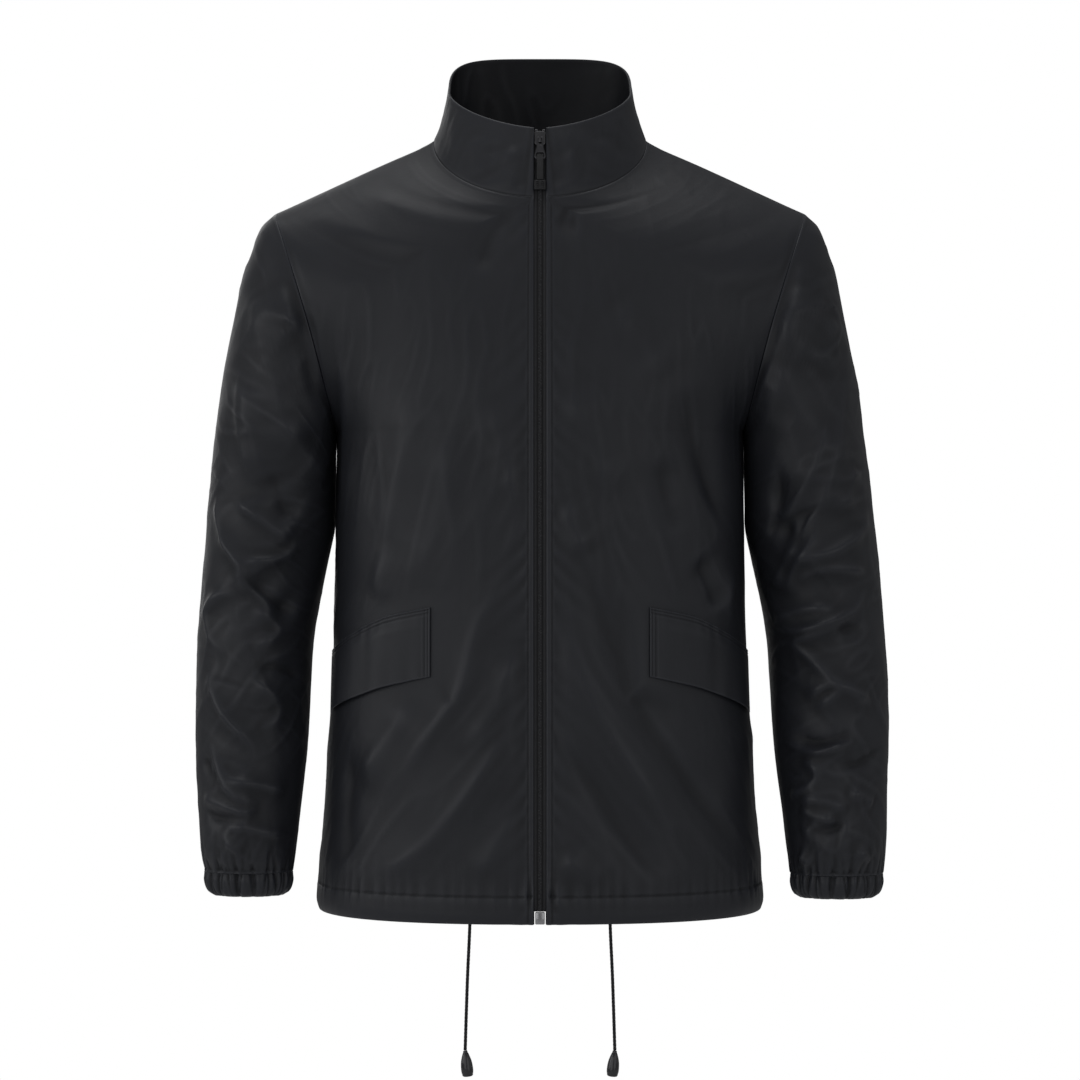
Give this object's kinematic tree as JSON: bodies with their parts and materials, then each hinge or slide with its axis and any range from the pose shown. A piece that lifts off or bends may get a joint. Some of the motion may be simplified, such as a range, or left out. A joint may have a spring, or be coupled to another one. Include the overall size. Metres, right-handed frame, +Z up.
{
  "type": "raincoat",
  "caption": "Light zip-front raincoat of jacket length: stand collar, set-in sleeves with gathered cuffs, slanted pocket flaps, and a drawcord in its hem; filled out as if worn.",
  "frame": {"origin": "middle of the neck, level with the tops of the shoulder seams, where the worn jacket hangs from its wearer", "axes": "+Z up, +Y towards the jacket's back, +X towards the wearer's left side"},
  "size_m": [0.6331, 0.2896, 0.9259],
  "materials": {
    "shell_cloth": "satin, smooth coated weave",
    "zip_tape": "matt ribbed weave",
    "coil_nylon": "smooth",
    "nickel": "bright plated",
    "pull_rubber": "satin moulded",
    "grey_metal": "dark plated",
    "cord_yarn": "twisted yarn"
  },
  "bodies": {
    "jacket": {"front_left": "shell_cloth", "front_right": "shell_cloth", "back": "shell_cloth", "sleeve_left": "shell_cloth", "sleeve_right": "shell_cloth", "cuff_left": "shell_cloth", "cuff_right": "shell_cloth", "collar": "shell_cloth", "flap_left": "shell_cloth", "flap_right": "shell_cloth", "zip_tape_left": "zip_tape", "zip_tape_right": "zip_tape", "zip_chain": "coil_nylon", "zip_stop_left": "nickel", "zip_stop_right": "nickel", "zip_slider": "nickel", "zip_box": "nickel", "eyelet_left": "grey_metal", "eyelet_right": "grey_metal", "drawcord_left": "cord_yarn", "drawcord_right": "cord_yarn", "cord_tip_left": "grey_metal", "cord_tip_right": "grey_metal"},
    "pull": {"zip_pull": "nickel", "pull_tape": "zip_tape", "pull_grip": "pull_rubber"}
  },
  "joints": [
    {"name": "pull_hinge", "type": "hinge", "parent": "jacket", "child": "pull", "pos_m": [0, -0.08311, -0.00288], "axis": [-1, 0, 0], "range_deg": [0, 155]}
  ]
}
